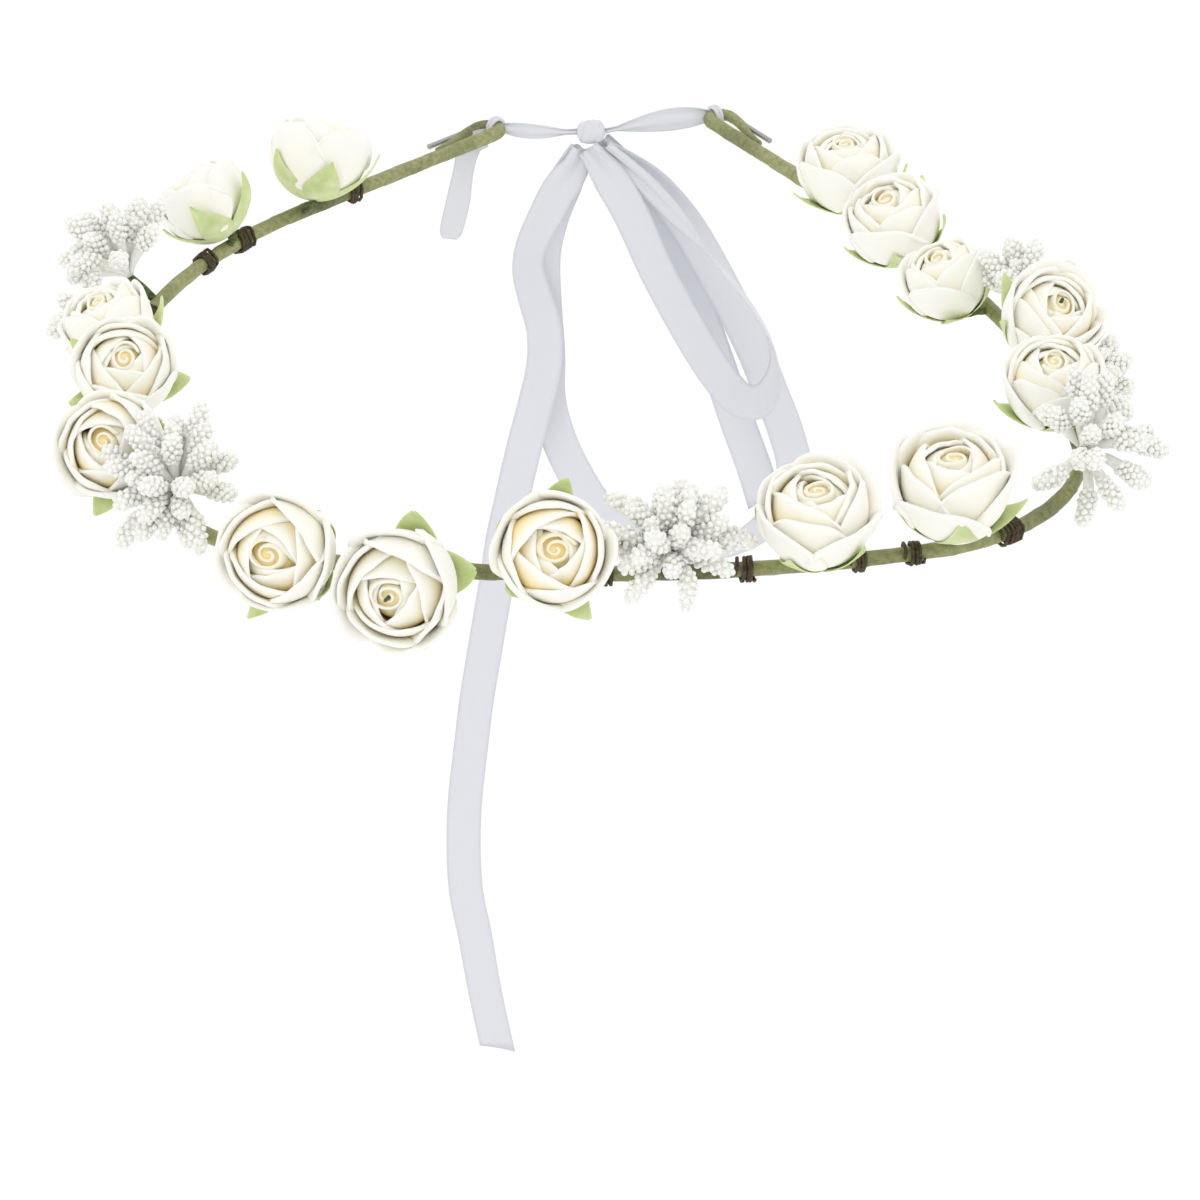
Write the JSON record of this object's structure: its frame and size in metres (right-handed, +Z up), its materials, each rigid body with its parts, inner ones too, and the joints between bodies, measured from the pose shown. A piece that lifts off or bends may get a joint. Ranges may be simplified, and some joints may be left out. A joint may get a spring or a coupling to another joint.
{
  "type": "flower crown",
  "caption": "Open wire hoop wrapped in green tape, carrying foam roses and bead stamen tufts, closed at the back by a white ribbon bow with a long tail",
  "frame": {"origin": "middle of the head opening, in the plane of the wire hoop", "axes": "+Z up out of the head opening, +Y towards the ribbon bow at the back, +X to the wearer's left"},
  "size_m": [0.2232, 0.2353, 0.2639],
  "materials": {
    "petal_foam": "soft ivory EVA foam with a velvety surface, warmer in the folds",
    "calyx_paper": "light green crepe paper, matt",
    "stem_wire": "wire wound in dark green paper, matt",
    "stamen": "white waxed thread ending in pearly beads, satin",
    "steel_wire": "plain drawn steel",
    "floral_tape": "olive green waxed crepe tape wound in overlapping turns, matt",
    "binding_wire": "dark brown paper-covered wire, matt",
    "organza": "sheer white organza ribbon with firm edges, slight sheen"
  },
  "bodies": {
    "root": {"wire_hoop": "steel_wire", "tape_wrap": "floral_tape", "binding_wires": "binding_wire", "fixed_stems": "stem_wire", "rose_2": "petal_foam", "rose_3": "petal_foam", "rose_4": "petal_foam", "rose_5": "petal_foam", "rose_11": "petal_foam", "rose_12": "petal_foam", "rose_13": "petal_foam", "rose_14": "petal_foam", "rose_15": "petal_foam", "calyx_2": "calyx_paper", "calyx_3": "calyx_paper", "calyx_4": "calyx_paper", "calyx_5": "calyx_paper", "calyx_11": "calyx_paper", "calyx_12": "calyx_paper", "calyx_13": "calyx_paper", "calyx_14": "calyx_paper", "calyx_15": "calyx_paper", "stamens_1": "stamen", "stamens_2": "stamen", "stamens_3": "stamen", "stamens_4": "stamen", "stamens_5": "stamen", "stamens_6": "stamen", "stamens_7": "stamen", "ribbon_knot": "organza", "ribbon_left_span": "organza", "ribbon_right_span": "organza", "ribbon_left_end": "organza"},
    "rose_head_1": {"rose_1": "petal_foam", "calyx_1": "calyx_paper", "stem_1": "stem_wire"},
    "rose_head_6": {"rose_6": "petal_foam", "calyx_6": "calyx_paper", "stem_6": "stem_wire"},
    "rose_head_7": {"rose_7": "petal_foam", "calyx_7": "calyx_paper", "stem_7": "stem_wire"},
    "rose_head_8": {"rose_8": "petal_foam", "calyx_8": "calyx_paper", "stem_8": "stem_wire"},
    "rose_head_9": {"rose_9": "petal_foam", "calyx_9": "calyx_paper", "stem_9": "stem_wire"},
    "rose_head_10": {"rose_10": "petal_foam", "calyx_10": "calyx_paper", "stem_10": "stem_wire"},
    "bow": {"small_loop": "organza", "big_loop": "organza", "short_tail": "organza", "tail_upper": "organza"},
    "tail_end": {"tail_lower": "organza"}
  },
  "joints": [
    {"name": "rose_1_lean", "type": "hinge", "parent": "root", "child": "rose_head_1", "pos_m": [-0.06232, 0.07192, 0], "axis": [-0.7111, -0.7031, 0], "range_deg": [-10, 10]},
    {"name": "rose_6_lean", "type": "hinge", "parent": "root", "child": "rose_head_6", "pos_m": [-0.05459, -0.0822, 0], "axis": [0.9756, -0.2198, 0], "range_deg": [-10, 10]},
    {"name": "rose_7_lean", "type": "hinge", "parent": "root", "child": "rose_head_7", "pos_m": [-0.03192, -0.08603, 0], "axis": [0.9924, -0.1228, 0], "range_deg": [-10, 10]},
    {"name": "rose_8_lean", "type": "hinge", "parent": "root", "child": "rose_head_8", "pos_m": [-0.008, -0.08788, 0], "axis": [0.9995, -0.0308, 0], "range_deg": [-10, 10]},
    {"name": "rose_9_lean", "type": "hinge", "parent": "root", "child": "rose_head_9", "pos_m": [0.04277, -0.08416, 0], "axis": [0.984, 0.1782, 0], "range_deg": [-10, 10]},
    {"name": "rose_10_lean", "type": "hinge", "parent": "root", "child": "rose_head_10", "pos_m": [0.06899, -0.07778, 0], "axis": [0.9399, 0.3415, 0], "range_deg": [-10, 10]},
    {"name": "bow_swing", "type": "hinge", "parent": "root", "child": "bow", "pos_m": [0, 0.113, 0], "axis": [1, 0, 0], "range_deg": [-10, 45]},
    {"name": "tail_swing", "type": "hinge", "parent": "bow", "child": "tail_end", "pos_m": [-0.0212, 0.112, -0.11], "axis": [1, 0, 0], "range_deg": [-30, 30]}
  ]
}
